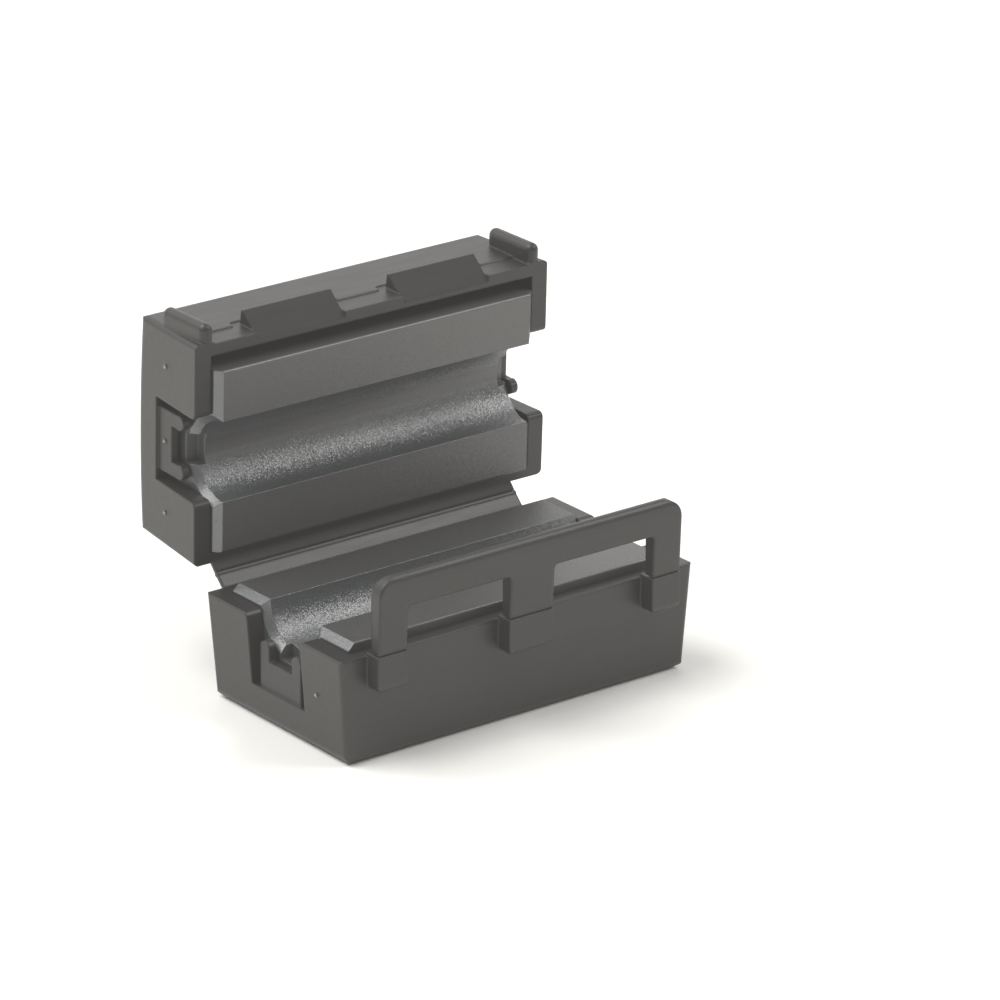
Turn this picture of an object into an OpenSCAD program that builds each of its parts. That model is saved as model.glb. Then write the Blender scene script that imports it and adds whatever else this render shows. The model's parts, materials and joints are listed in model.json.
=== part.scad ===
// Clip-on ferrite bead for a cable: a moulded case in two hinged halves with a latch bail,
// and a ferrite half core in each half. It stands open on the underside of its base.
// The cable runs along X, the latch is at -Y and the film hinge at +Y.
// Each half is drawn as it lies when closed, and the lid is then swung open on its hinge.

/* [Case] */
// Length of the case at the rim, along the cable
case_l = 36.2; // [35.8:0.1:44]
// Width of the base at the rim
case_w = 19; // [18.6:0.1:23]
// Height of the base, from its underside to its rim
base_h = 9.4; // [9:0.1:12]
// Height of the lid, from its rim to the edges of its outer face
lid_h = 9.1; // [8.8:0.1:11]
// Crown of the lid's outer face above its edges
lid_crown = 0.35; // [0.1:0.05:0.8]
// How much further out the lid's long walls stand than those of the base
lid_step = 0.2; // [0.15:0.05:0.5]
// Draft of the end walls over the full height
end_draft = 0.73; // [0.1:0.01:0.8]
// Draft of the long walls over the full height
side_draft = 0.2; // [0.05:0.01:0.4]
// Radius of the upright corners
corner_r = 0.5; // [0.3:0.1:1.2]
// Radius of the edges round the outer face
edge_r = 1; // [0.3:0.1:1.2]
// Radius of the outer edge of the base's rim
rim_r = 0.15; // [0.1:0.05:0.3]
// Thickness of the lid's front wall
lid_wall_t = 1.05; // [0.8:0.05:1.2]
// Thickness of the outer face under the ribs
floor_t = 1.3; // [0.8:0.1:1.5]
// Width of each rib that a core lies on
rib_w = 1; // [0.6:0.1:2]

/* [Cores] */
// Length of each half core
core_l = 32.7; // [27:0.1:33]
// Width of each half core
core_w = 16.1; // [14:0.1:16.5]
// Height of each half core, from its back to its lands
core_h = 8.05; // [6.5:0.05:8.2]
// Radius of the cable channel
channel_r = 3.55; // [2:0.05:4.3]
// Bevel round the ends of the lands and of the channel
core_bevel = 0.6; // [0.2:0.05:1]
// Radius of the long edges on the back of a core
core_back_r = 0.8; // [0.3:0.1:1.5]
// Radius of the long outer edges of the lands
core_land_r = 0.2; // [0.1:0.05:0.5]
// How far the lands stand above the rim
core_proud = 0.75; // [0.3:0.05:1]
// Clearance between a core and its pocket on each side, but in front of the lid's core
pocket_gap = 0.15; // [0.05:0.05:0.2]
// How far the lid's core lies towards the hinge, where it rests while the lid stands upright
lid_core_y = 0.6; // [0.3:0.05:0.65]
// Width of the notch at each end of the channel
notch_w = 2.7; // [1.5:0.1:3.2]
// Length of the notch along the channel
notch_l = 1.2; // [0.8:0.1:3]
// Depth of the notch below the channel
notch_d = 0.9; // [0.4:0.1:1.5]

/* [End windows and cable tabs] */
// How much wider the window in each end wall is than the channel, on each side
window_gap = 0.15; // [0.05:0.05:0.6]
// Height of the base windows' sills above the outer face
window_sill = 3.1; // [2.8:0.05:4]
// Height of the lid windows' sills above the edges of the outer face
lid_window_sill = 2.85; // [2.6:0.05:4]
// How far the lid's windows and tabs lie towards the hinge
lid_window_y = 0.35; // [0:0.05:0.4]
// Radius where the window meets the rim
window_r = 0.5; // [0.2:0.1:1]
// Gap between the forked cable tab and the window, on each side
tab_gap = 0.9; // [0.5:0.05:1.2]
// Height of the base tabs' prongs above the sill
tab_h = 4.2; // [3.6:0.05:4.6]
// Height of the lid tabs' prongs above the sill
lid_tab_h = 3.6; // [3.2:0.05:4.6]
// Width of each prong
prong_w = 1.2; // [0.8:0.05:1.4]
// Depth of the fork between the prongs
fork_d = 1.7; // [1.2:0.05:2.2]
// Thickness of the tab
tab_t = 0.7; // [0.5:0.05:0.75]
// How much wider the round tip of a prong is, on each side
tip_bulge = 0.05; // [0.01:0.01:0.15]

/* [Gate pips] */
// Radius of the balls whose caps form the pips on the end walls and tabs
pip_r = 0.3; // [0.2:0.05:0.5]
// How far a pip stands out
pip_out = 0.15; // [0.05:0.01:0.2]
// Distance of the base's pip from the middle of an end wall, towards the latch
pip_y = 5.6; // [5.5:0.1:7.8]
// Height of the base's pips above the outer face
pip_z = 5.3; // [3:0.1:7]
// Distance of the lid's two pips from the middle of an end wall
lid_pip_y = 6.5; // [5.6:0.1:7.8]
// Height of the lid's pips above the edges of the outer face
lid_pip_z = 4.4; // [3:0.1:7]
// Height of the pips on the lid's tabs above the sill
tab_pip_z = 1; // [0.5:0.1:1.5]

/* [Latch bail] */
// Overall width of the bail, along the case
bail_w = 30.9; // [26:0.1:31.4]
// Thickness of the legs at their film hinge
leg_t = 1; // [0.8:0.05:1.15]
// Thickness of the crossbar
bar_t = 1.25; // [1.15:0.05:1.5]
// Width of the two outer legs
leg_w = 2.8; // [2:0.1:3.6]
// Width of the middle leg
mid_leg_w = 4.4; // [3:0.1:4.9]
// Height of the crossbar
bar_h = 2.8; // [2.2:0.1:4]
// Outer radius of the bail's upper corners
bail_corner_r = 1.7; // [1:0.1:2]
// Radius in the corners between the legs and the crossbar
bail_inner_r = 0.45; // [0.2:0.05:0.8]
// Radius of the crossbar's upper edges
bar_edge_r = 0.55; // [0.1:0.05:0.55]
// Height of the root bosses on the base
boss_h = 3.3; // [2:0.1:4.5]
// How far the bosses stand out from the legs, in front and at the sides
boss_step = 0.08; // [0.04:0.02:0.3]
// Radius of the lower edges of a boss
boss_r = 0.8; // [0.3:0.1:0.9]
// Height of the legs' film hinges above the rim
pivot_rise = 0.45; // [0.2:0.05:0.6]
// Radius of the web at the legs' film hinges
web_r = 0.15; // [0.1:0.01:0.2]
// Clearance between the bail and the closed lid
bail_gap = 0.08; // [0.06:0.02:0.2]

/* [Catch teeth and guide ears] */
// Clearance between a catch tooth and the legs on both sides of it
tooth_gap = 0.8; // [0.3:0.1:2]
// How far the tooth's crest stands out from the lid's wall
tooth_out = 1.5; // [0.9:0.05:1.55]
// Height of the top of the tooth above the rim
tooth_h = 2.6; // [2.1:0.1:3]
// Radius of the tooth's crest
crest_r = 0.2; // [0.1:0.05:0.3]
// How far inside the wall's face the tooth's ramp starts, on the rim
ramp_in = 0.55; // [0.2:0.05:0.7]
// Height of the recessed band above the rim
band_h = 2.3; // [1:0.1:2.5]
// How far the skin above the band stands out from the wall
skin_step = 0.15; // [0.1:0.05:0.3]
// Margin that the band leaves beside each tooth
tooth_margin = 0.9; // [0.4:0.1:1.2]
// Margin that the band leaves above each tooth
tooth_margin_top = 0.45; // [0.2:0.05:0.8]
// Radius of the band's corners above each tooth
band_corner_r = 0.5; // [0.2:0.1:1]
// Thickness of each guide ear
ear_t = 1.2; // [0.8:0.1:1.2]
// Clearance between a guide ear and the end of the bail
ear_gap = 0.7; // [0.4:0.05:0.75]
// How far the ear stands out from the skin at the rim
ear_out = 1.6; // [0.9:0.1:1.8]
// How far the ear stands out from the skin at its far end
ear_out_far = 1.4; // [0.7:0.1:1.6]
// Length of the ear from the rim
ear_l = 6; // [4:0.1:7]

/* [Film hinge] */
// Length of the film hinge along the case
hinge_l = 31; // [20:0.5:32]
// How far the middle of the film hinge lies from the middle of the case
hinge_x = -0.8; // [-1:0.1:1]
// Thickness of the hinge leaves
leaf_t = 0.32; // [0.2:0.02:0.34]
// Radius of the bead along the fold line
bead_r = 0.25; // [0.24:0.01:0.3]
// Distance of the fold line behind the base's wall
fold_out = 0.99; // [0.95:0.01:1.4]
// Height of the fold line above the base's rim
fold_up = 0.79; // [0.7:0.01:0.9]
// Angle at which the lid stands open, in degrees
open_angle = 88; // [0:1:160]

/* [Hidden] */
plastic_black = "#3a3a3a";
ferrite_grey = "#6a6b6c";
$fn = 48;
eps = 0.01;
run_gap = 0.03;
crest_drop = 0.2;

// Heights in the closed position
split_z = base_h + core_proud;
lid_rim_z = split_z + core_proud;
lid_edge_z = lid_rim_z + lid_h;

// Windows, cable tabs and the forks in them
window_w = 2 * (channel_r + window_gap);
tab_w = window_w - 2 * tab_gap;
fork_w = tab_w - 2 * prong_w;
tip_r = prong_w / 2 + tip_bulge;

// Pockets of the base; those of the lid give its core more room
pocket_l = core_l + 2 * pocket_gap;
pocket_w = core_w + 2 * pocket_gap;

// Distances from the middle plane of the case, in the closed position
base_wall = case_w / 2;
lid_wall = base_wall + lid_step;
skin = lid_wall + skin_step;
tooth_crest = lid_wall + tooth_out;
tooth_crest_z = lid_rim_z + tooth_h - crest_drop;
bail_back = skin + bail_gap;
leg_front = bail_back + leg_t;
bar_front = bail_back + bar_t;
boss_front = leg_front + boss_step;

// Film hinge of the bail, and the heights of its crossbar
pivot_y = leg_front - web_r;
pivot_z = base_h + pivot_rise;
boss_top = pivot_z - web_r - eps;
bar_z = lid_rim_z + tooth_h + bail_gap;
bail_top = bar_z + bar_h;

// Windows of the bail, and the teeth and ears that fit to it
bail_window_in = mid_leg_w / 2;
bail_window_out = bail_w / 2 - leg_w;
tooth_x = (bail_window_in + bail_window_out) / 2;
tooth_w = bail_window_out - bail_window_in - 2 * tooth_gap;
ear_x = bail_w / 2 + ear_gap + ear_t / 2;

// Fold line of the case's film hinge
fold_y = base_wall + fold_out;
fold_z = base_h + fold_up;

// Middle and width of each leg of the bail
legs = [
    [-(bail_w - leg_w) / 2, leg_w],
    [0, mid_leg_w],
    [(bail_w - leg_w) / 2, leg_w]
];

function unit(v) = v / norm(v);
function flip(v) = [-v[0], v[1]];
// Distance of an end wall's face from the middle, at a height above the outer face of a half of height h
function end_x(h, z) = case_l / 2 - end_draft * (1 - z / h);
// Radius of the lid's crown, which rises from both of its long edges
function crown_r(width) = pow(width / 2 - side_draft, 2) / (2 * lid_crown) + lid_crown / 2;
function half_angle(a, p, b) = acos(unit(a - p) * unit(b - p)) / 2;
function tangent_point(p, toward, r, half) = p + unit(toward - p) * r / tan(half);
function arc_centre(a, p, b, r) =
    p + unit(unit(a - p) + unit(b - p)) * r / sin(half_angle(a, p, b));

// Convex outline with true arcs at its corners; a radius of 0 leaves a corner sharp
module rounded_outline(points, radii) {
    n = len(points);
    polygon([
        for (i = [0 : n - 1])
            let (
                a = points[(i + n - 1) % n],
                p = points[i],
                b = points[(i + 1) % n],
                half = half_angle(a, p, b)
            )
            each radii[i] > 0
                ? [tangent_point(p, a, radii[i], half), tangent_point(p, b, radii[i], half)]
                : [p]
    ]);
    for (i = [0 : n - 1])
        if (radii[i] > 0)
            translate(arc_centre(points[(i + n - 1) % n], points[i], points[(i + 1) % n], radii[i]))
                circle(radii[i]);
}

// Extrudes a Y-Z profile along X, centred
module along_x(length) {
    rotate([90, 0, 90])
        translate([0, 0, -length / 2])
            linear_extrude(length)
                children();
}

// Extrudes an X-Z profile along Y, between two planes
module along_y(y_from, y_to) {
    translate([0, y_to, 0])
        rotate([90, 0, 0])
            linear_extrude(y_to - y_from)
                children();
}

// Cutter that rounds one upright corner; it follows the leaning edge from foot to head
module corner_cutter(foot, head) {
    lean = head - foot;
    translate(foot)
        rotate(a = acos(lean[2] / norm(lean)), v = [-lean[1], lean[0], 0])
            translate([0, 0, -1])
                linear_extrude(norm(lean) + 2)
                    translate([-corner_r, -corner_r])
                        difference() {
                            square(corner_r + 1);
                            circle(corner_r);
                        }
}

// Rounds the four upright corners of a drafted body that lies with its outer face down
module round_corners(width, h) {
    foot = [case_l / 2 - end_draft, width / 2 - side_draft, 0];
    head = [case_l / 2, width / 2, h];
    difference() {
        children();
        for (sx = [0, 1])
            for (sy = [0, 1])
                mirror([sx, 0, 0])
                    mirror([0, sy, 0])
                        corner_cutter(foot, head);
    }
}

// Drafted outer body of the base, with its underside at z = 0 and its rim at z = h
module base_body(width, h) {
    foot_x = case_l / 2 - end_draft;
    foot_y = width / 2 - side_draft;
    head_x = case_l / 2;
    head_y = width / 2;
    radii = [rim_r, edge_r, edge_r, rim_r];
    round_corners(width, h)
        intersection() {
            along_x(case_l + 2)
                rounded_outline([[-head_y, h], [-foot_y, 0], [foot_y, 0], [head_y, h]], radii);
            along_y(-head_y - 1, head_y + 1)
                rounded_outline([[-head_x, h], [-foot_x, 0], [foot_x, 0], [head_x, h]], radii);
        }
}

// Pocket for a core between two walls, with the ribs that the core lies on
module core_pocket(y_from, y_to, h) {
    seat = h + core_proud - core_h;
    difference() {
        translate([-pocket_l / 2, y_from, floor_t])
            cube([pocket_l, y_to - y_from, h]);
        for (x = [-pocket_l / 3, 0, pocket_l / 3])
            translate([x - rib_w / 2, y_from - 1, floor_t - 1])
                cube([rib_w, y_to - y_from + 2, seat - floor_t + 1]);
    }
}

// Windows through both end walls, open at the rim, where their corners are rounded
module end_windows(h, sill) {
    jamb = window_w / 2 + window_r;
    along_x(case_l + 2)
        difference() {
            translate([-jamb, sill])
                square([2 * jamb, h]);
            for (s = [-1, 1]) {
                translate([s * jamb - window_r, 0])
                    square([2 * window_r, h - window_r]);
                translate([s * jamb, h - window_r])
                    circle(window_r);
            }
        }
}

// Forked cable tab that stands upright on the sill of one window
module cable_tab(side, sill, prong_h) {
    prong_y = (tab_w + fork_w) / 4;
    top = sill + prong_h;
    root = sill - floor_t / 2;
    translate([side * (end_x(base_h, 0) - tab_t / 2), 0, 0])
        along_x(tab_t) {
            difference() {
                translate([-tab_w / 2, root])
                    square([tab_w, top - tip_r - root]);
                translate([-fork_w / 2, top - fork_d])
                    square([fork_w, prong_h]);
            }
            for (s = [-1, 1])
                translate([s * prong_y, top - tip_r])
                    circle(tip_r);
        }
}

// Pips that the gates leave on both ends, on faces at the distance x from the middle
module gate_pips(x, y, z) {
    for (side = [-1, 1])
        translate([side * (x + pip_out - pip_r), y, z])
            sphere(pip_r);
}

// Half core with its lands up at z = 0
module half_core() {
    half_l = core_l / 2;
    half_w = core_w / 2;
    difference() {
        intersection() {
            along_y(-half_w, half_w)
                polygon([[-half_l, -core_h], [half_l, -core_h], [half_l, -core_bevel],
                    [half_l - core_bevel, 0], [core_bevel - half_l, 0], [-half_l, -core_bevel]]);
            along_x(core_l)
                rounded_outline([[-half_w, 0], [-half_w, -core_h], [half_w, -core_h], [half_w, 0]],
                    [core_land_r, core_back_r, core_back_r, core_land_r]);
        }
        rotate([0, 90, 0])
            cylinder(h = core_l + 2, r = channel_r, center = true);
        for (s = [-1, 1]) {
            translate([s * (half_l - core_bevel), 0, 0])
                rotate([0, s * 90, 0])
                    cylinder(h = 2 * core_bevel, r1 = channel_r, r2 = channel_r + 2 * core_bevel);
            translate([s * half_l, 0, -channel_r])
                cube([2 * notch_l, notch_w, 2 * notch_d], center = true);
        }
    }
}

// Root boss of one leg on the base's front wall, with a round lower end
module leg_boss(x, leg_width) {
    width = leg_width + 2 * boss_step;
    low = boss_top - boss_h;
    root = base_wall - side_draft - eps;
    translate([x, 0, 0])
        intersection() {
            along_y(-boss_front, -root)
                rounded_outline([[-width / 2, boss_top], [-width / 2, low],
                    [width / 2, low], [width / 2, boss_top]],
                    [0, boss_r, boss_r, 0]);
            along_x(width)
                rounded_outline([[-boss_front, boss_top], [-boss_front, low],
                    [-root, low], [-root, boss_top]],
                    [0, boss_r, 0, 0]);
        }
}

// Y-Z profile of a hinge leaf, from its root in a wall to the fold line
module leaf_profile(root) {
    fold = [fold_y, fold_z];
    along = unit(root - fold);
    across = [-along[1], along[0]] * leaf_t / 2;
    polygon([fold + across, root + across, root - across, fold - across]);
}

module base_shell() {
    color(plastic_black) {
        difference() {
            base_body(case_w, base_h);
            core_pocket(-pocket_w / 2, pocket_w / 2, base_h);
            end_windows(base_h, window_sill);
        }
        for (side = [-1, 1])
            cable_tab(side, window_sill, tab_h);
        gate_pips(end_x(base_h, pip_z), -pip_y, pip_z);
        for (leg = legs)
            leg_boss(leg[0], leg[1]);
        translate([hinge_x, 0, 0])
            along_x(hinge_l) {
                leaf_profile([base_wall - 0.3, base_h - 0.45]);
                translate([fold_y, fold_z])
                    circle(bead_r);
            }
    }
}

// Swings what is drawn in the closed position to where the open lid stands
module open_lid() {
    translate([0, fold_y, fold_z])
        rotate([-open_angle, 0, 0])
            translate([0, -fold_y, -fold_z])
                children();
}

// Turns over a half drawn with its outer face down, into the lid's closed position
module as_lid() {
    translate([0, 0, lid_edge_z])
        mirror([0, 0, 1])
            children();
}

// Y-Z profile of the lid with its outer face down: leaning walls run into a crown through true arcs
module crowned_profile(width) {
    head = [width / 2, lid_h];
    foot = [width / 2 - side_draft, 0];
    wall = unit(head - foot);
    inward = [-wall[1], wall[0]];
    crown_centre = [0, crown_r(width) - lid_crown];
    start = foot + inward * edge_r - crown_centre;
    reach = crown_r(width) - edge_r;
    rise = -start * wall - sqrt(pow(start * wall, 2) - start * start + reach * reach);
    arc = foot + inward * edge_r + wall * rise;
    on_wall = foot + wall * rise;
    on_crown = crown_centre + unit(arc - crown_centre) * crown_r(width);
    polygon([head, on_wall, on_crown, flip(on_crown), flip(on_wall), flip(head)]);
    for (centre = [arc, flip(arc)])
        translate(centre)
            circle(edge_r);
    intersection() {
        translate(crown_centre)
            circle(crown_r(width), $fn = 720);
        translate([-on_crown[0], -1])
            square([2 * on_crown[0], 1 + on_crown[1]]);
    }
}

// Body of revolution about the crown's axis, whose drafted ends run into the crown through true arcs
module crowned_ends(width) {
    r = crown_r(width);
    low = r - lid_h - lid_crown - 1;
    foot_x = case_l / 2 - end_draft;
    low_x = foot_x + end_draft * (r - low) / (lid_h + lid_crown);
    translate([0, 0, r - lid_crown])
        rotate([0, -90, 0])
            rotate_extrude($fn = 720)
                rounded_outline([[low, -low_x], [r, -foot_x], [r, foot_x], [low, low_x]],
                    [0, edge_r, edge_r, 0]);
}

// Outer body of the lid: the front skin stands out from the wall, and the top is crowned
module lid_body() {
    width = 2 * lid_wall + skin_step;
    as_lid()
        translate([0, -skin_step / 2, 0])
            round_corners(width, lid_h)
                intersection() {
                    along_x(case_l + 2)
                        crowned_profile(width);
                    crowned_ends(width);
                }
}

// Cut that leaves the band along the front below the skin, and room round each tooth
module front_band() {
    reach = ear_x - ear_t / 2;
    room = tooth_w / 2 + tooth_margin;
    room_top = lid_rim_z + tooth_h + tooth_margin_top;
    translate([-reach, -skin - 1, lid_rim_z - 1])
        cube([2 * reach, 1 + skin_step, band_h + 1]);
    for (s = [-1, 1])
        translate([s * tooth_x, 0, 0])
            along_y(-skin - 1, -lid_wall)
                rounded_outline([[-room, lid_rim_z - 1], [-room, room_top],
                    [room, room_top], [room, lid_rim_z - 1]],
                    [0, band_corner_r, band_corner_r, 0]);
}

// Y-Z profile of a tooth: a ramp from the rim to a round crest, with the catch face above it
module tooth_profile() {
    root = lid_wall - ramp_in;
    rounded_outline([[-root, lid_rim_z], [-tooth_crest, tooth_crest_z], [-root, lid_rim_z + tooth_h]],
        [0, crest_r, 0]);
}

// Y-Z profile of what is cut from the wall's edge in front of a ramp
module ramp_cut_profile() {
    root = lid_wall - ramp_in;
    polygon([[-root, lid_rim_z], [-tooth_crest, tooth_crest_z],
        [-tooth_crest, lid_rim_z - 1], [-root, lid_rim_z - 1]]);
}

// Guide ear near one end: a web whose crest and ends are round
module guide_ear(side) {
    r = ear_t / 2;
    near = [r - skin - ear_out, lid_rim_z + r];
    far = [r - skin - ear_out_far, lid_rim_z + ear_l - r];
    rise = far - near;
    foot_y = r - lid_wall;
    translate([side * ear_x, 0, 0]) {
        along_x(ear_t)
            polygon([near, far, [foot_y, far[1]], [foot_y, near[1]]]);
        translate([0, near[0], near[1]])
            rotate([-atan2(rise[0], rise[1]), 0, 0])
                cylinder(h = norm(rise), r = r);
        for (end = [near, far])
            translate([0, end[0], end[1]]) {
                sphere(r);
                rotate([-90, 0, 0])
                    cylinder(h = foot_y - end[0], r = r);
            }
    }
}

module lid_shell() {
    color(plastic_black)
        open_lid() {
            difference() {
                lid_body();
                as_lid() {
                    core_pocket(lid_wall_t - lid_wall, lid_core_y + pocket_w / 2, lid_h);
                    translate([0, lid_window_y, 0])
                        end_windows(lid_h, lid_window_sill);
                }
                front_band();
                for (s = [-1, 1])
                    translate([s * tooth_x, 0, 0])
                        along_x(tooth_w)
                            ramp_cut_profile();
            }
            as_lid() {
                translate([0, lid_window_y, 0]) {
                    for (side = [-1, 1])
                        cable_tab(side, lid_window_sill, lid_tab_h);
                    gate_pips(end_x(lid_h, 0), 0, lid_window_sill + tab_pip_z);
                }
                for (y = [-lid_pip_y, lid_pip_y])
                    gate_pips(end_x(lid_h, lid_pip_z), y, lid_pip_z);
            }
            for (s = [-1, 1]) {
                guide_ear(s);
                translate([s * tooth_x, 0, 0])
                    along_x(tooth_w)
                        tooth_profile();
            }
            translate([hinge_x, 0, 0])
                along_x(hinge_l)
                    difference() {
                        leaf_profile([lid_wall - 0.4, lid_rim_z + 0.45]);
                        translate([fold_y, fold_z])
                            circle(bead_r + run_gap);
                    }
        }
}

// X-Z outline of the bail with its two windows, down to the height of its film hinges
module bail_outline() {
    difference() {
        rounded_outline([[-bail_w / 2, pivot_z - 1], [-bail_w / 2, bail_top],
            [bail_w / 2, bail_top], [bail_w / 2, pivot_z - 1]],
            [0, bail_corner_r, bail_corner_r, 0]);
        for (s = [-1, 1]) {
            inner = s * bail_window_in;
            outer = s * bail_window_out;
            rounded_outline([[inner, pivot_z - 2], [inner, bar_z], [outer, bar_z], [outer, pivot_z - 2]],
                [0, bail_inner_r, bail_inner_r, 0]);
        }
    }
}

// Y-Z profile of the bail: its front leans out towards the crossbar, whose upper edges are round
module bail_profile() {
    shoulder_z = bail_top - 2 * bar_edge_r;
    polygon([[-bail_back, pivot_z], [-bail_back, shoulder_z], [-bar_front, shoulder_z],
        [-leg_front, pivot_z]]);
    rounded_outline([[-bail_back, shoulder_z - eps], [-bail_back, bail_top],
        [-bar_front, bail_top], [-bar_front, shoulder_z - eps]],
        [0, bar_edge_r, bar_edge_r, 0]);
}

module latch_bail() {
    color(plastic_black) {
        intersection() {
            along_y(-bar_front, -bail_back)
                bail_outline();
            along_x(bail_w)
                bail_profile();
        }
        for (leg = legs)
            translate([leg[0] - leg[1] / 2, -pivot_y, pivot_z])
                rotate([0, 90, 0])
                    cylinder(h = leg[1], r = web_r);
    }
}

module base_core() {
    color(ferrite_grey)
        translate([0, 0, split_z])
            half_core();
}

module lid_core() {
    color(ferrite_grey)
        open_lid()
            translate([0, lid_core_y, split_z])
                mirror([0, 0, 1])
                    half_core();
}

base_shell();
lid_shell();
latch_bail();
base_core();
lid_core();
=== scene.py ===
"""Looks of a clip-on ferrite bead for a cable: a black moulded nylon case on film hinges, standing open
with a ferrite half core in each half, lit like a small product on a white table."""

import json
import math

import bmesh
import bpy
from mathutils import Matrix, Vector

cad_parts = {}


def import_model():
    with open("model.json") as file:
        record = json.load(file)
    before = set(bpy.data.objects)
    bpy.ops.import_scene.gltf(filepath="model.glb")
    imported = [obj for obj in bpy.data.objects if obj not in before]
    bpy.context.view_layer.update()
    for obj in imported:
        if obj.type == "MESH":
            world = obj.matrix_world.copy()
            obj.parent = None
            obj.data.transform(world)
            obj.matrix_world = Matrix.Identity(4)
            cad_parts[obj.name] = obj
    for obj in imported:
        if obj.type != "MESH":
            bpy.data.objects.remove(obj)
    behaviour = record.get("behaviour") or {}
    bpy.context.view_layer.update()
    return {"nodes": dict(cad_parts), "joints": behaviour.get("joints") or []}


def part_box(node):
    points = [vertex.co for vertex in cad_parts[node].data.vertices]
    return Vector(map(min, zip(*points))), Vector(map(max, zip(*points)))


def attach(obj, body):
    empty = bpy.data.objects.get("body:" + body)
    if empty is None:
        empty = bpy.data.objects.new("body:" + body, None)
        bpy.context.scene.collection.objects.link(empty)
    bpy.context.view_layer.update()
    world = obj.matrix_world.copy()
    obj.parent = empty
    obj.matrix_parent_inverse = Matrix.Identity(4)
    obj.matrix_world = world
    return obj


MM = 0.001

# The surfaces, as sRGB
NYLON_DARK = "#191817"
NYLON_LIGHT = "#22211f"
# Pale nylon for the torn gate stubs: partly the paling of torn nylon, partly a painted highlight for their
# glint
NYLON_TORN_PAINTED_GLINT = "#b9b7b2"
FERRITE_LAND_DARK = "#111110"
FERRITE_LAND_LIGHT = "#2e2e2d"
FERRITE_SKIN = "#3c4043"
# Near black for the cores' long sides: painted shade for the dark gaps of the case they stand in
FERRITE_SIDE_PAINTED_SHADE = "#0d0d0c"
FERRITE_PIT = "#141414"
TABLE_WHITE = "#f4f3f0"
DAYLIGHT = "#fffefc"

# The camera, in degrees, metres and millimetres of lens: a long lens well above the table
CAMERA_AZIMUTH = -37.49
CAMERA_ELEVATION = 21.37
CAMERA_ROLL = 0.24
CAMERA_DISTANCE = 0.51506
CAMERA_LENS = 223.97
SENSOR_WIDTH = 36.0
CAMERA_AIM = Vector((4.71, -0.50, 15.31)) * MM

# The side of the room that is bright, and how strongly the room glows away from it and towards it
ROOM_BRIGHT_SIDE = Vector((0.25, 0.93, -0.30))
ROOM_DIM_GLOW = 0.28
ROOM_BRIGHT_GLOW = 1.40

# How far the two soft lights stand from the bead, and the radius of the table, in metres
LIGHT_DISTANCE = 0.7
TABLE_RADIUS = 3.0

# Stray light over the whole picture, as a share of white
VEIL = (0.042, 0.041, 0.039)

# The way the catch teeth's ramps face on the closed lid
RAMP_WAY = Vector((0.0, -2.40, -2.05))

# Radius of the cable channel through the cores, and the band just outside it where its skin ends
CHANNEL_R = 3.55 * MM
SKIN_ENDS = CHANNEL_R + 0.10 * MM
LAND_BEGINS = CHANNEL_R + 0.15 * MM

# How far the edges of the case, the bail and the cores are softened
CASE_EDGE_R = 0.25 * MM
BAIL_EDGE_R = 0.45 * MM
CORE_EDGE_R = 0.12 * MM
EDGE_SAMPLES = 6

# Refractive index of nylon and of ferrite
NYLON_IOR = 1.53
FERRITE_IOR = 2.1

# A broken gate's stub: height, radius and sideways pull of each ring, in millimetres, and how ragged it is
STUB_SIDES = 14
STUB_RINGS = (
    (-0.10, 0.20, 0.0),
    (0.06, 0.19, 0.0),
    (0.13, 0.14, 0.02),
    (0.17, 0.09, 0.05),
    (0.185, 0.04, 0.07),
)
STUB_RAGGED = 0.12

# Places of the gate pips in the CAD, in millimetres with the lid shut: how far out along X, then Y and Z
BASE_GATES = ((17.78, -5.6, 5.3),)
LID_GATES = ((17.723, -6.5, 15.6), (17.723, 6.5, 15.6), (17.37, 0.35, 16.15))

# The way the gates were torn off the base and off the lid
BASE_TORN_WAY = Vector((0, -0.3, -0.95)).normalized()
LID_TORN_WAY = Vector((0, 0.5, -0.87)).normalized()

# Sockets of a colour Mix node, which share their names with those of its other types
MIX_FACTOR, MIX_A, MIX_B, MIX_RESULT = 0, 6, 7, 2


def linear(hex_colour):
    """An sRGB hex colour as linear red, green, blue and alpha."""
    channels = [int(hex_colour[i : i + 2], 16) / 255 for i in (1, 3, 5)]
    return [c / 12.92 if c <= 0.04045 else ((c + 0.055) / 1.055) ** 2.4 for c in channels] + [1.0]


def features(size_mm):
    """The texture scale at which one feature of a pattern in metres measures size_mm."""
    return 1 / (size_mm * MM)


def add_node(tree, kind, inputs=None, **settings):
    """A new node with its settings. An input takes a value, or the output socket that feeds it."""
    node = tree.nodes.new(kind)
    for name, value in settings.items():
        setattr(node, name, value)
    for name, value in (inputs or {}).items():
        if isinstance(value, bpy.types.NodeSocket):
            tree.links.new(value, node.inputs[name])
        else:
            node.inputs[name].default_value = value
    return node


def new_material(name):
    """A material with an empty node tree, ready for its shader."""
    material = bpy.data.materials.new(name)
    material.use_nodes = True
    material.node_tree.nodes.clear()
    return material


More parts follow.
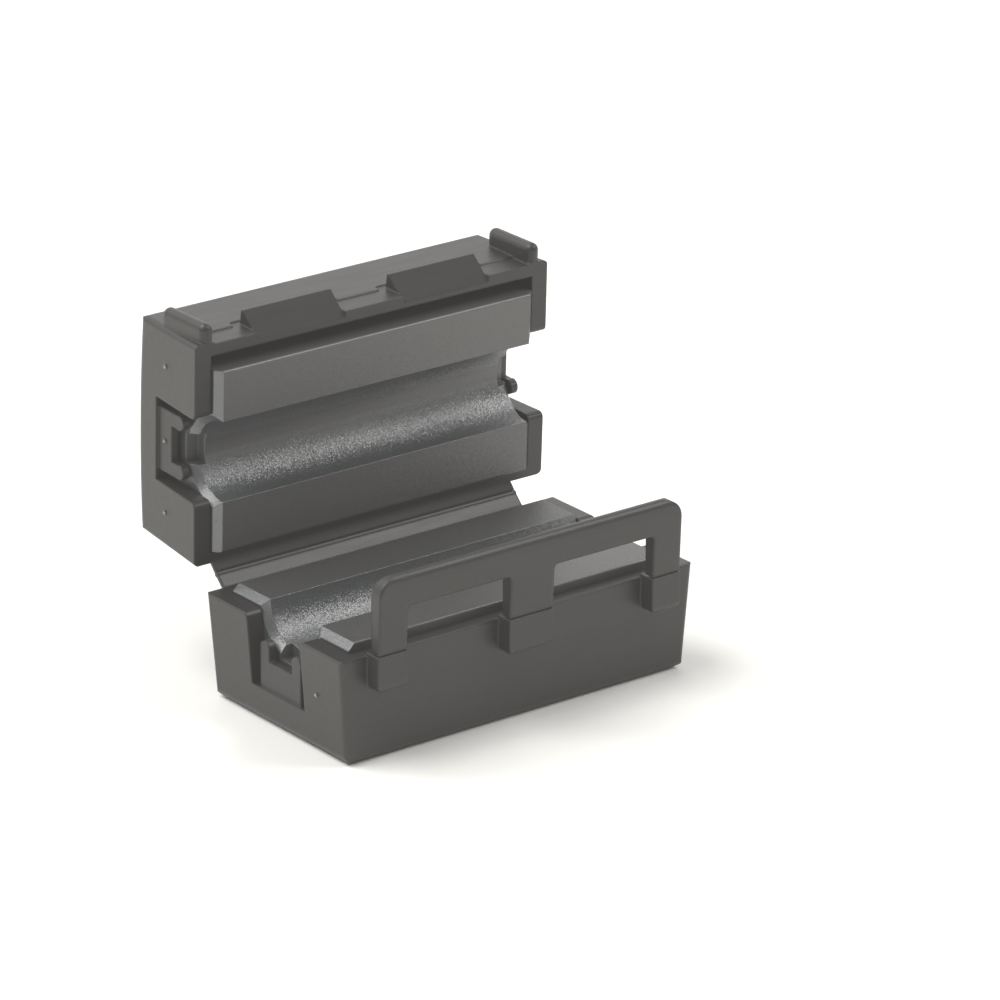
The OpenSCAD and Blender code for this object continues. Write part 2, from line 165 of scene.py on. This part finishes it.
def moulded_nylon(name, matt_way, edge_radius):
    """Black nylon 66 from a spark-eroded mould: a fine even grain that breaks up its sheen,
    faint flow marks where the melt cooled, and soft edges that catch the light. Faces that look
    the matt way, as the ramps of the catch teeth do, come from a coarser insert and are duller."""
    material = new_material(name)
    tree = material.node_tree
    coords = add_node(tree, "ShaderNodeTexCoord")
    place = coords.outputs["Object"]
    cloud = add_node(tree, "ShaderNodeTexNoise", {"Vector": place, "Scale": features(4.0), "Detail": 3.0})
    tint = add_node(
        tree,
        "ShaderNodeMix",
        {MIX_FACTOR: cloud.outputs["Fac"], MIX_A: linear(NYLON_DARK), MIX_B: linear(NYLON_LIGHT)},
        data_type="RGBA",
    )
    # Flow marks are long along X and narrow across it
    stretch = add_node(tree, "ShaderNodeMapping", {"Vector": place, "Scale": (0.12, 1.0, 1.0)})
    flow = add_node(
        tree,
        "ShaderNodeTexNoise",
        {"Vector": stretch.outputs["Vector"], "Scale": features(0.7), "Detail": 4.0},
    )
    gloss = add_node(
        tree,
        "ShaderNodeMapRange",
        {"Value": flow.outputs["Fac"], "From Min": 0.3, "From Max": 0.7, "To Min": 0.39, "To Max": 0.44},
    )
    facing = add_node(
        tree, "ShaderNodeVectorMath", {0: coords.outputs["Normal"], 1: matt_way}, operation="DOT_PRODUCT"
    )
    matt = add_node(
        tree,
        "ShaderNodeMapRange",
        {"Value": facing.outputs["Value"], "From Min": 0.990, "From Max": 0.998, "To Max": 0.35},
    )
    roughness = add_node(tree, "ShaderNodeMath", {0: gloss.outputs["Result"], 1: matt.outputs["Result"]})
    grain = add_node(tree, "ShaderNodeTexNoise", {"Vector": place, "Scale": features(0.16), "Detail": 2.0})
    soft_edge = add_node(tree, "ShaderNodeBevel", {"Radius": edge_radius}, samples=EDGE_SAMPLES)
    texture = add_node(
        tree,
        "ShaderNodeBump",
        {
            "Height": grain.outputs["Fac"],
            "Normal": soft_edge.outputs["Normal"],
            "Strength": 0.8,
            "Distance": 0.02 * MM,
        },
    )
    shader = add_node(
        tree,
        "ShaderNodeBsdfPrincipled",
        {
            "Base Color": tint.outputs[MIX_RESULT],
            "Roughness": roughness.outputs["Value"],
            "Normal": texture.outputs["Normal"],
            "IOR": NYLON_IOR,
        },
    )
    add_node(tree, "ShaderNodeOutputMaterial", {"Surface": shader.outputs["BSDF"]})
    return material


def sintered_ferrite(name, land_normal, channel_axis):
    """Nickel-zinc ferrite. Its lands are ground flat and show a fine even grain with a few pulled-out
    specks. The channel is as it left the kiln: a bluish grey skin whose crystal facets glitter. The long
    sides are made dull and painted nearly black, as painted shade for the gaps of the case they stand in."""
    material = new_material(name)
    tree = material.node_tree
    coords = add_node(tree, "ShaderNodeTexCoord")
    place = coords.outputs["Object"]
    facing = add_node(
        tree, "ShaderNodeVectorMath", {0: coords.outputs["Normal"], 1: land_normal}, operation="DOT_PRODUCT"
    )
    on_land = add_node(
        tree, "ShaderNodeMapRange", {"Value": facing.outputs["Value"], "From Min": 0.97, "From Max": 0.99}
    ).outputs["Result"]
    from_axis = add_node(tree, "ShaderNodeVectorMath", {0: place, 1: channel_axis}, operation="SUBTRACT")
    across = add_node(
        tree,
        "ShaderNodeVectorMath",
        {0: from_axis.outputs["Vector"], 1: (0.0, 1.0, 1.0)},
        operation="MULTIPLY",
    )
    radius = add_node(tree, "ShaderNodeVectorMath", {0: across.outputs["Vector"]}, operation="LENGTH")
    outside = add_node(
        tree,
        "ShaderNodeMapRange",
        {"Value": radius.outputs["Value"], "From Min": SKIN_ENDS, "From Max": LAND_BEGINS},
    ).outputs["Result"]
    off_skin = add_node(
        tree, "ShaderNodeMath", {0: on_land, 1: outside}, operation="MAXIMUM"
    ).outputs["Value"]
    # Mask of the cores' long sides, which get painted shade for the gap between core and case wall
    sideways = add_node(
        tree,
        "ShaderNodeVectorMath",
        {0: coords.outputs["Normal"], 1: land_normal.cross(Vector((1, 0, 0)))},
        operation="DOT_PRODUCT",
    )
    either_side = add_node(tree, "ShaderNodeMath", {0: sideways.outputs["Value"]}, operation="ABSOLUTE")
    facing_side = add_node(
        tree,
        "ShaderNodeMapRange",
        {"Value": either_side.outputs["Value"], "From Min": 0.6, "From Max": 0.95},
    )
    in_side_painted_shade = add_node(
        tree, "ShaderNodeMath", {0: facing_side.outputs["Result"], 1: outside}, operation="MULTIPLY"
    ).outputs["Value"]

    # The grain of the ground lands is finer than the render can show, so it is drawn 0.12 mm across
    grain = add_node(tree, "ShaderNodeTexNoise", {"Vector": place, "Scale": features(0.12), "Detail": 2.0})
    land_tone = add_node(
        tree, "ShaderNodeMapRange", {"Value": grain.outputs["Fac"], "From Min": 0.3, "From Max": 0.7}
    )
    land = add_node(
        tree,
        "ShaderNodeMix",
        {
            MIX_FACTOR: land_tone.outputs["Result"],
            MIX_A: linear(FERRITE_LAND_DARK),
            MIX_B: linear(FERRITE_LAND_LIGHT),
        },
        data_type="RGBA",
    )
    tone = add_node(
        tree,
        "ShaderNodeMix",
        {MIX_FACTOR: on_land, MIX_A: linear(FERRITE_SKIN), MIX_B: land.outputs[MIX_RESULT]},
        data_type="RGBA",
    )
    speck = add_node(tree, "ShaderNodeTexNoise", {"Vector": place, "Scale": features(0.3), "Detail": 1.0})
    pit = add_node(
        tree, "ShaderNodeMapRange", {"Value": speck.outputs["Fac"], "From Min": 0.70, "From Max": 0.75}
    )
    # The long sides are painted nearly black: painted shade for the dark gap between each core and its case
    # wall
    side_painted_shade = add_node(
        tree,
        "ShaderNodeMix",
        {MIX_FACTOR: in_side_painted_shade, MIX_A: tone.outputs[MIX_RESULT], MIX_B: linear(FERRITE_SIDE_PAINTED_SHADE)},
        data_type="RGBA",
    )
    colour = add_node(
        tree,
        "ShaderNodeMix",
        {MIX_FACTOR: pit.outputs["Result"], MIX_A: side_painted_shade.outputs[MIX_RESULT], MIX_B: linear(FERRITE_PIT)},
        data_type="RGBA",
    )

    # Each crystal of the skin tilts its own way. A crystal is far finer than the render can show,
    # so the facets are drawn 0.055 mm across
    crystal = add_node(tree, "ShaderNodeTexVoronoi", {"Vector": place, "Scale": features(0.055)})
    centred = add_node(
        tree,
        "ShaderNodeVectorMath",
        {0: crystal.outputs["Color"], 1: (0.5, 0.5, 0.5)},
        operation="SUBTRACT",
    )
    sparkle = add_node(tree, "ShaderNodeMapRange", {"Value": off_skin, "To Min": 0.46, "To Max": 0.22})
    lean = add_node(
        tree,
        "ShaderNodeVectorMath",
        {0: centred.outputs["Vector"], "Scale": sparkle.outputs["Result"]},
        operation="SCALE",
    )
    soft_edge = add_node(tree, "ShaderNodeBevel", {"Radius": CORE_EDGE_R}, samples=EDGE_SAMPLES)
    tilted = add_node(
        tree,
        "ShaderNodeVectorMath",
        {0: soft_edge.outputs["Normal"], 1: lean.outputs["Vector"]},
        operation="ADD",
    )
    facet = add_node(tree, "ShaderNodeVectorMath", {0: tilted.outputs["Vector"]}, operation="NORMALIZE")
    gloss = add_node(tree, "ShaderNodeMapRange", {"Value": on_land, "To Min": 0.33, "To Max": 0.48})
    matt = add_node(tree, "ShaderNodeMapRange", {"Value": in_side_painted_shade, "To Min": 0.0, "To Max": 0.45})
    roughness = add_node(tree, "ShaderNodeMath", {0: gloss.outputs["Result"], 1: matt.outputs["Result"]})
    shader = add_node(
        tree,
        "ShaderNodeBsdfPrincipled",
        {
            "Base Color": colour.outputs[MIX_RESULT],
            "Roughness": roughness.outputs["Value"],
            "Normal": facet.outputs["Vector"],
            "IOR": FERRITE_IOR,
        },
    )
    add_node(tree, "ShaderNodeOutputMaterial", {"Surface": shader.outputs["BSDF"]})
    return material


def torn_nylon_painted_glint():
    """The same nylon where the gates were broken off: stretched and paled, and painted paler still as a
    painted highlight for the glint the stubs catch, with a wet-looking gloss.
    """
    material = new_material("torn_nylon_painted_glint")
    tree = material.node_tree
    place = add_node(tree, "ShaderNodeTexCoord").outputs["Object"]
    pull = add_node(tree, "ShaderNodeTexNoise", {"Vector": place, "Scale": features(0.15), "Detail": 2.0})
    # The pale tone is partly the paling of torn nylon and partly a painted highlight for the glint of the
    # stubs
    tint = add_node(
        tree,
        "ShaderNodeMix",
        {MIX_FACTOR: pull.outputs["Fac"], MIX_A: linear(NYLON_LIGHT), MIX_B: linear(NYLON_TORN_PAINTED_GLINT)},
        data_type="RGBA",
    )
    shader = add_node(
        tree,
        "ShaderNodeBsdfPrincipled",
        {"Base Color": tint.outputs[MIX_RESULT], "Roughness": 0.25, "IOR": NYLON_IOR},
    )
    add_node(tree, "ShaderNodeOutputMaterial", {"Surface": shader.outputs["BSDF"]})
    return material


def table_laminate():
    """Matt white laminate, even and clean."""
    material = new_material("table_laminate")
    tree = material.node_tree
    place = add_node(tree, "ShaderNodeTexCoord").outputs["Object"]
    mottle = add_node(tree, "ShaderNodeTexNoise", {"Vector": place, "Scale": features(30.0), "Detail": 4.0})
    gloss = add_node(
        tree, "ShaderNodeMapRange", {"Value": mottle.outputs["Fac"], "To Min": 0.55, "To Max": 0.75}
    )
    shader = add_node(
        tree,
        "ShaderNodeBsdfPrincipled",
        {"Base Color": linear(TABLE_WHITE), "Roughness": gloss.outputs["Result"], "IOR": 1.5},
    )
    add_node(tree, "ShaderNodeOutputMaterial", {"Surface": shader.outputs["BSDF"]})
    return material


def dress(node, material):
    """Gives a CAD node its finish."""
    for slot in node.material_slots:
        slot.material = material


def gate_stubs(name, body, places, material):
    """The stubs left on the end walls where the moulding was broken from its runner. Each place gives a
    point on the wall, the way the wall faces and the way the stub was torn."""
    mesh = bmesh.new()
    for foot, outward, torn in places:
        aside = outward.cross(torn).normalized()
        rings = []
        for height, radius, shift in STUB_RINGS:
            centre = foot + outward * height * MM + torn * shift * MM
            ring = []
            for i in range(STUB_SIDES):
                turn = 2 * math.pi * i / STUB_SIDES
                ragged = 1 + STUB_RAGGED * math.sin(3 * turn + 9 * height)
                spoke = torn * math.cos(turn) + aside * math.sin(turn)
                ring.append(mesh.verts.new(centre + spoke * radius * ragged * MM))
            rings.append(ring)
        for low, high in zip(rings, rings[1:]):
            for i in range(STUB_SIDES):
                j = (i + 1) % STUB_SIDES
                mesh.faces.new((low[i], low[j], high[j], high[i])).smooth = True
        mesh.faces.new(rings[-1]).smooth = True
        mesh.faces.new(reversed(rings[0]))
    bmesh.ops.recalc_face_normals(mesh, faces=mesh.faces)
    data = bpy.data.meshes.new(name)
    mesh.to_mesh(data)
    mesh.free()
    data.materials.append(material)
    stubs = bpy.data.objects.new(name, data)
    bpy.context.scene.collection.objects.link(stubs)
    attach(stubs, body)


def lay_table(material):
    """A wide round table top that the bead stands on."""
    bpy.ops.mesh.primitive_circle_add(vertices=128, radius=TABLE_RADIUS, fill_type="NGON")
    table = bpy.context.object
    table.name = "table"
    table.data.materials.append(material)


def softbox(name, azimuth, elevation, width, power):
    """A square area light that looks at the bead from a direction given in degrees, as the camera's is."""
    data = bpy.data.lights.new(name, "AREA")
    data.shape = "SQUARE"
    data.size = width
    data.energy = power
    data.color = linear(DAYLIGHT)[:3]
    light = bpy.data.objects.new(name, data)
    bpy.context.scene.collection.objects.link(light)
    towards = direction(azimuth, elevation)
    light.location = CAMERA_AIM + towards * LIGHT_DISTANCE
    light.rotation_euler = towards.to_track_quat("Z", "Y").to_euler()


def direction(azimuth, elevation):
    """Unit vector from the bead towards an azimuth and elevation in degrees; azimuth 0 is the front."""
    a, e = math.radians(azimuth), math.radians(elevation)
    return Vector((math.sin(a) * math.cos(e), -math.cos(a) * math.cos(e), math.sin(e)))


def light_studio():
    """A white room that is bright low behind the bead and dim before it, a broad soft light from behind
    on the left, and a smaller one from in front on the right that draws the bands in the channel."""
    scene = bpy.context.scene
    world = bpy.data.worlds.new("white_room")
    world.use_nodes = True
    tree = world.node_tree
    towards = add_node(tree, "ShaderNodeTexCoord").outputs["Generated"]
    aside = add_node(
        tree,
        "ShaderNodeVectorMath",
        {0: towards, 1: ROOM_BRIGHT_SIDE.normalized()},
        operation="DOT_PRODUCT",
    )
    glow = add_node(
        tree,
        "ShaderNodeMapRange",
        {
            "Value": aside.outputs["Value"],
            "From Max": 0.70,
            "To Min": ROOM_DIM_GLOW,
            "To Max": ROOM_BRIGHT_GLOW,
        },
    )
    background = tree.nodes["Background"]
    background.inputs["Color"].default_value = linear(DAYLIGHT)
    tree.links.new(glow.outputs["Result"], background.inputs["Strength"])
    scene.world = world
    softbox("fill", azimuth=-118, elevation=58, width=0.5, power=4.9)
    softbox("key", azimuth=57, elevation=46, width=0.38, power=2.4)
    scene.view_settings.view_transform = "Standard"
    # A little stray light in the lens lifts the darkest gaps
    scene.view_settings.use_curve_mapping = True
    scene.view_settings.curve_mapping.black_level = [-share for share in VEIL]
    scene.view_settings.curve_mapping.update()


def place_camera():
    """A long lens that looks down on the open bead from the front left."""
    data = bpy.data.cameras.new("camera")
    data.lens = CAMERA_LENS
    data.sensor_width = SENSOR_WIDTH
    data.clip_start = 0.01
    camera = bpy.data.objects.new("camera", data)
    bpy.context.scene.collection.objects.link(camera)
    back = direction(CAMERA_AZIMUTH, CAMERA_ELEVATION)
    level = Vector((-back.y, back.x, 0)).normalized()
    upright = back.cross(level)
    roll = math.radians(CAMERA_ROLL)
    right = level * math.cos(roll) + upright * math.sin(roll)
    up = upright * math.cos(roll) - level * math.sin(roll)
    turn = Matrix((right, up, back)).transposed().to_4x4()
    camera.matrix_world = Matrix.Translation(CAMERA_AIM + back * CAMERA_DISTANCE) @ turn
    bpy.context.scene.camera = camera


def main():
    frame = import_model()
    nodes = frame["nodes"]
    up = Vector((0, 0, 1))

    # The turn that carries the shut lid to where it stands open
    lid_turn = next(joint for joint in frame["joints"] if joint["name"] == "lid_hinge")
    hinge = Vector(lid_turn["pos_m"])
    swing = Matrix.Rotation(-math.radians(lid_turn["range_deg"][1]), 3, "X")
    dress(nodes["base_shell"], moulded_nylon("moulded_nylon_base", -up, CASE_EDGE_R))
    dress(nodes["latch_bail"], moulded_nylon("moulded_nylon_bail", -up, BAIL_EDGE_R))
    ramps = swing @ RAMP_WAY.normalized()
    dress(nodes["lid_shell"], moulded_nylon("moulded_nylon_lid", ramps, CASE_EDGE_R))
    low, high = (Vector(corner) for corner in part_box("base_core"))
    half_height = (high.z - low.z) / 2
    base_axis = (low + high) / 2 + up * half_height
    lid_land = swing @ -up
    low, high = (Vector(corner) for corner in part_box("lid_core"))
    lid_axis = (low + high) / 2 + lid_land * half_height
    dress(nodes["base_core"], sintered_ferrite("sintered_ferrite_base", up, base_axis))
    dress(nodes["lid_core"], sintered_ferrite("sintered_ferrite_lid", lid_land, lid_axis))

    torn = torn_nylon_painted_glint()
    base_places, lid_places = [], []
    for side in (-1, 1):
        outward = Vector((side, 0, 0))
        for x, y, z in BASE_GATES:
            base_places.append((Vector((side * x, y, z)) * MM, outward, BASE_TORN_WAY))
        for x, y, z in LID_GATES:
            foot = hinge + swing @ (Vector((side * x, y, z)) * MM - hinge)
            lid_places.append((foot, outward, LID_TORN_WAY))
    gate_stubs("base_gate_stubs", "base", base_places, torn)
    gate_stubs("lid_gate_stubs", "lid", lid_places, torn)

    lay_table(table_laminate())
    light_studio()
    place_camera()


main()
